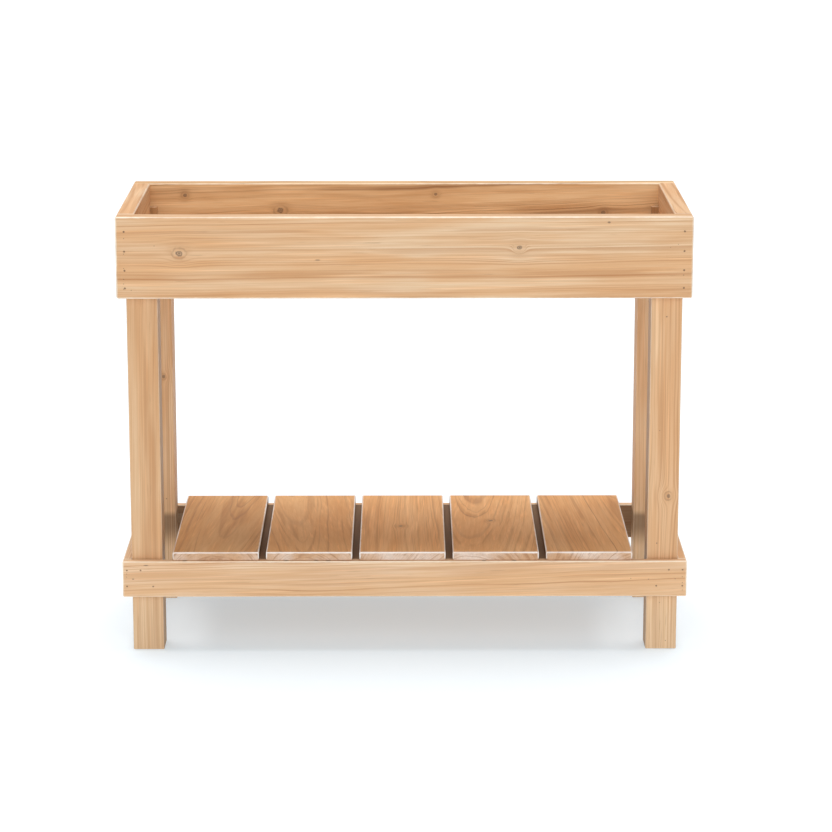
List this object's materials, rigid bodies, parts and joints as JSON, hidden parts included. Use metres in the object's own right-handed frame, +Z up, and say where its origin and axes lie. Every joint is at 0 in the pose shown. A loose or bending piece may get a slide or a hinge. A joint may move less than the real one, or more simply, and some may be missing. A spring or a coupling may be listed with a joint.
{
  "type": "potting bench",
  "caption": "Cedar potting bench: an open rectangular tray on square legs, with a slatted storage shelf held between rails near the floor.",
  "frame": {"origin": "on the floor, under the middle of the bench", "axes": "+X to the right along the bench's length, +Y from the front to the back, +Z up"},
  "size_m": [1.219, 0.496, 0.956],
  "materials": {
    "cedar_tray": "planed, unfinished, edges rounded over",
    "cedar_leg": "planed, unfinished, edges eased",
    "cedar_rail": "planed, unfinished, edges rounded over",
    "cedar_slat": "planed, unfinished, edges eased",
    "cedar_inner": "planed, unfinished, out of the light",
    "steel_fastener": "galvanised, dulled"
  },
  "bodies": {
    "root": {"batten_nails": "steel_fastener", "corner_block_back_left": "cedar_inner", "corner_block_back_right": "cedar_inner", "corner_block_front_left": "cedar_inner", "corner_block_front_right": "cedar_inner", "corner_block_nails": "steel_fastener", "ledger_nails": "steel_fastener", "leg_back_left": "cedar_leg", "leg_back_right": "cedar_leg", "leg_front_left": "cedar_leg", "leg_front_right": "cedar_leg", "leg_screws": "steel_fastener", "rail_to_leg_nails": "steel_fastener", "shelf_back_rail": "cedar_rail", "shelf_batten_1": "cedar_inner", "shelf_batten_2": "cedar_inner", "shelf_batten_3": "cedar_inner", "shelf_batten_4": "cedar_inner", "shelf_corner_nails": "steel_fastener", "shelf_front_rail": "cedar_rail", "shelf_left_rail": "cedar_rail", "shelf_right_rail": "cedar_rail", "shelf_slat_1": "cedar_slat", "shelf_slat_2": "cedar_slat", "shelf_slat_3": "cedar_slat", "shelf_slat_4": "cedar_slat", "shelf_slat_5": "cedar_slat", "slat_nails": "steel_fastener", "tray_back_board": "cedar_tray", "tray_back_ledger": "cedar_inner", "tray_corner_nails": "steel_fastener", "tray_floor_board_1": "cedar_inner", "tray_floor_board_2": "cedar_inner", "tray_floor_board_3": "cedar_inner", "tray_floor_board_4": "cedar_inner", "tray_floor_board_5": "cedar_inner", "tray_floor_board_6": "cedar_inner", "tray_floor_nails": "steel_fastener", "tray_front_board": "cedar_tray", "tray_front_ledger": "cedar_inner", "tray_left_board": "cedar_tray", "tray_right_board": "cedar_tray"}
  },
  "joints": []
}
